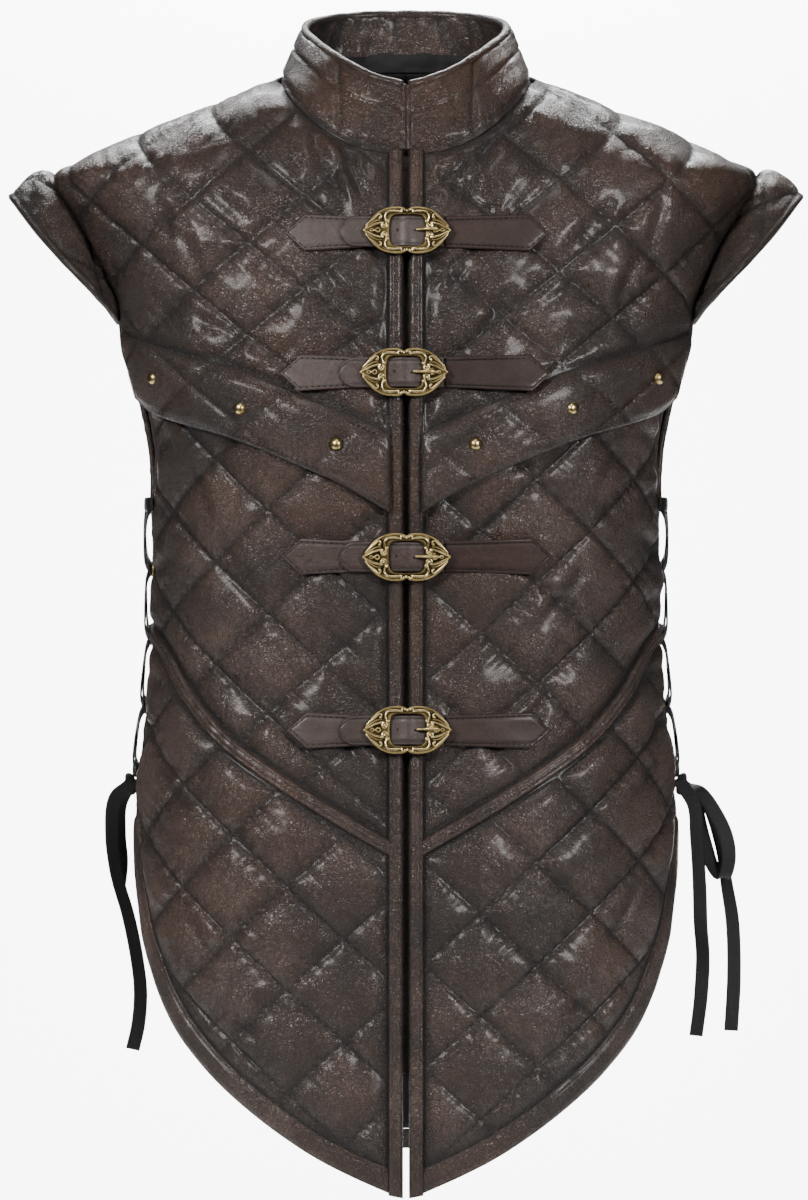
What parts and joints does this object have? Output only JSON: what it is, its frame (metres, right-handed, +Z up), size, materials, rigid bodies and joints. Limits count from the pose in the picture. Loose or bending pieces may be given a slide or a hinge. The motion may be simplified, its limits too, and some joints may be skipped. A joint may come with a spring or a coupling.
{
  "type": "medieval vest",
  "caption": "Sleeveless quilted leather vest with a stand collar, winged shoulders, buckle straps down the front, laced sides and a pointed hem, hollow as worn.",
  "frame": {"origin": "middle of the neck, level with the tops of the shoulders, where the wearer's shoulders hold the vest", "axes": "+Z up, the wearer faces -Y, +X to the wearer's left"},
  "size_m": [0.5604, 0.2698, 0.836],
  "materials": {
    "leather": "crackled, semi-gloss",
    "strap": "smooth, semi-matte",
    "brass": "antiqued",
    "tape": "woven, matte",
    "lining": "satin"
  },
  "bodies": {
    "root": {"yoke_left": "leather", "yoke_band_left": "leather", "front_left": "leather", "skirt_left": "leather", "hem_left": "leather", "piping_left": "leather", "welt_left": "leather", "cap_left": "leather", "lacing_left": "tape", "rivet_left_1": "brass", "rivet_left_2": "brass", "rivet_left_3": "brass", "yoke_right": "leather", "yoke_band_right": "leather", "front_right": "leather", "skirt_right": "leather", "hem_right": "leather", "piping_right": "leather", "welt_right": "leather", "cap_right": "leather", "lacing_right": "tape", "rivet_right_1": "brass", "rivet_right_2": "brass", "rivet_right_3": "brass", "row1_tab_right": "strap", "row1_tab_left": "strap", "row1_tongue": "strap", "row1_buckle": "brass", "row1_prong": "brass", "row2_tab_right": "strap", "row2_tab_left": "strap", "row2_tongue": "strap", "row2_buckle": "brass", "row2_prong": "brass", "row3_tab_right": "strap", "row3_tab_left": "strap", "row3_tongue": "strap", "row3_buckle": "brass", "row3_prong": "brass", "row4_tab_right": "strap", "row4_tab_left": "strap", "row4_tongue": "strap", "row4_buckle": "brass", "row4_prong": "brass", "back_left": "leather", "skirt_back_left": "leather", "back_right": "leather", "skirt_back_right": "leather", "hem_back": "leather", "lining_back": "lining", "collar": "leather", "lace_end_right_long": "tape", "lace_end_right_short": "tape", "lace_loop_left": "tape", "lace_end_left_long": "tape", "lace_end_left_short": "tape"}
  },
  "joints": []
}
